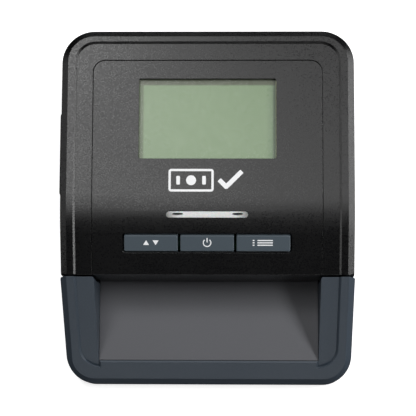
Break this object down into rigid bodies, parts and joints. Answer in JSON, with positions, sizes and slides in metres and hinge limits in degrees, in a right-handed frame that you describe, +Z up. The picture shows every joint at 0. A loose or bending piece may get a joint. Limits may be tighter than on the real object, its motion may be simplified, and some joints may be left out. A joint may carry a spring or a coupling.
{
  "type": "counterfeit bill detector",
  "caption": "Desktop counterfeit bill detector: grey base with a front note slot and roller drive, under a hinged black cover with display and keys.",
  "frame": {"origin": "centre of the object's bounding box in plan, on the table under its feet", "axes": "+X to the user's right, +Y to the back where the note leaves, -Y to the note slot and the user, +Z up"},
  "size_m": [0.122, 0.144, 0.062],
  "materials": {
    "cover_black": "fine-grained black ABS moulding, satin",
    "fascia_black": "fine-grained black ABS plate, satin",
    "base_grey": "fine-grained slate-grey ABS moulding",
    "bed_grey": "smooth mid-grey ABS note bed",
    "key_grey": "blue-grey ABS keys, satin",
    "lcd_green": "grey-green reflective LCD",
    "clear_window": "clear acrylic",
    "light_diffuser": "milky clear acrylic light guide",
    "steel": "turned or bare steel",
    "plated_steel": "zinc-plated steel sheet",
    "brass": "plain turned brass",
    "roller_rubber": "ground black rubber",
    "foot_rubber": "matt black rubber",
    "belt_rubber": "ribbed black rubber belt",
    "print_white": "white pad print",
    "gear_white": "natural acetal",
    "inner_black": "matt black ABS",
    "board_green": "solder-masked circuit board",
    "led_clear": "moulded lamp bodies",
    "component_black": "black moulded component"
  },
  "bodies": {
    "base": {"base_shell": "base_grey", "bottom_cover": "inner_black", "bottom_screws": "steel", "foot_front_left": "foot_rubber", "foot_front_right": "foot_rubber", "foot_rear_left": "foot_rubber", "foot_rear_right": "foot_rubber", "note_bed": "bed_grey", "lower_sensor_window": "clear_window", "lower_sensor_board": "board_green", "side_plate_left": "plated_steel", "side_plate_right": "plated_steel", "bush_front_left": "brass", "bush_front_right": "brass", "bush_rear_left": "brass", "bush_rear_right": "brass", "motor": "plated_steel", "gear_stud": "steel", "timing_belt": "belt_rubber", "main_board": "board_green", "dc_jack": "component_black", "hinge_pin_left": "steel", "hinge_pin_right": "steel"},
    "front_drive": {"front_shaft": "steel", "front_roller_left": "roller_rubber", "front_roller_right": "roller_rubber", "front_pulley": "gear_white", "drive_gear": "gear_white"},
    "rear_drive": {"rear_shaft": "steel", "rear_roller_left": "roller_rubber", "rear_roller_right": "roller_rubber", "rear_pulley": "gear_white"},
    "motor_shaft": {"motor_pinion": "brass"},
    "reduction": {"reduction_gear": "gear_white"},
    "cover": {"top_cover": "cover_black", "front_panel": "fascia_black", "lcd_window": "clear_window", "lcd_module": "lcd_green", "display_board": "board_green", "light_guide": "light_diffuser", "indicator_leds": "led_clear", "led_board": "board_green", "key_switches": "component_black", "key_board": "board_green", "upper_guide": "inner_black", "upper_sensor_window": "clear_window", "upper_sensor_board": "board_green", "magnetic_head": "steel", "pinch_springs": "plated_steel", "cover_screws": "steel", "buzzer": "component_black"},
    "pinch_front": {"pinch_axle_front": "steel", "pinch_rollers_front": "roller_rubber"},
    "pinch_rear": {"pinch_axle_rear": "steel", "pinch_rollers_rear": "roller_rubber"},
    "value_key": {"value_button": "key_grey"},
    "power_key": {"power_button": "key_grey"},
    "mode_key": {"mode_button": "key_grey"},
    "release": {"release_button": "cover_black"}
  },
  "joints": [
    {"name": "cover_hinge", "type": "hinge", "parent": "base", "child": "cover", "pos_m": [0, 0.0645, 0.034], "axis": [-1, 0, 0], "range_deg": [0, 65]},
    {"name": "front_shaft_turn", "type": "hinge", "parent": "base", "child": "front_drive", "pos_m": [0, -0.014, 0.0146], "axis": [1, 0, 0], "continuous": true},
    {"name": "rear_shaft_turn", "type": "hinge", "parent": "base", "child": "rear_drive", "pos_m": [0, 0.046, 0.0146], "axis": [1, 0, 0], "continuous": true},
    {"name": "reduction_turn", "type": "hinge", "parent": "base", "child": "reduction", "pos_m": [0, -0.0039, 0.0184], "axis": [1, 0, 0], "continuous": true},
    {"name": "motor_turn", "type": "hinge", "parent": "base", "child": "motor_shaft", "pos_m": [0, 0.00545, 0.0117], "axis": [1, 0, 0], "continuous": true},
    {"name": "pinch_front_turn", "type": "hinge", "parent": "cover", "child": "pinch_front", "pos_m": [0, -0.014, 0.0279], "axis": [1, 0, 0], "continuous": true},
    {"name": "pinch_rear_turn", "type": "hinge", "parent": "cover", "child": "pinch_rear", "pos_m": [0, 0.046, 0.0279], "axis": [1, 0, 0], "continuous": true},
    {"name": "value_press", "type": "slide", "parent": "cover", "child": "value_key", "axis": [0, 0.3078, -0.9514], "range_m": [0, 0.0006], "stiffness_N_per_m": 400, "springref_m": -0.0008},
    {"name": "power_press", "type": "slide", "parent": "cover", "child": "power_key", "axis": [0, 0.3078, -0.9514], "range_m": [0, 0.0006], "stiffness_N_per_m": 400, "springref_m": -0.0008},
    {"name": "mode_press", "type": "slide", "parent": "cover", "child": "mode_key", "axis": [0, 0.3078, -0.9514], "range_m": [0, 0.0006], "stiffness_N_per_m": 400, "springref_m": -0.0008},
    {"name": "release_press", "type": "slide", "parent": "cover", "child": "release", "axis": [1, 0, 0], "range_m": [0, 0.0015], "stiffness_N_per_m": 300, "springref_m": -0.001}
  ],
  "couplings": [
    {"joint": "rear_shaft_turn", "follows": "front_shaft_turn", "ratio": 1},
    {"joint": "reduction_turn", "follows": "front_shaft_turn", "ratio": -2},
    {"joint": "motor_turn", "follows": "front_shaft_turn", "ratio": 7.2},
    {"joint": "pinch_front_turn", "follows": "front_shaft_turn", "ratio": -1.6},
    {"joint": "pinch_rear_turn", "follows": "front_shaft_turn", "ratio": -1.6}
  ]
}
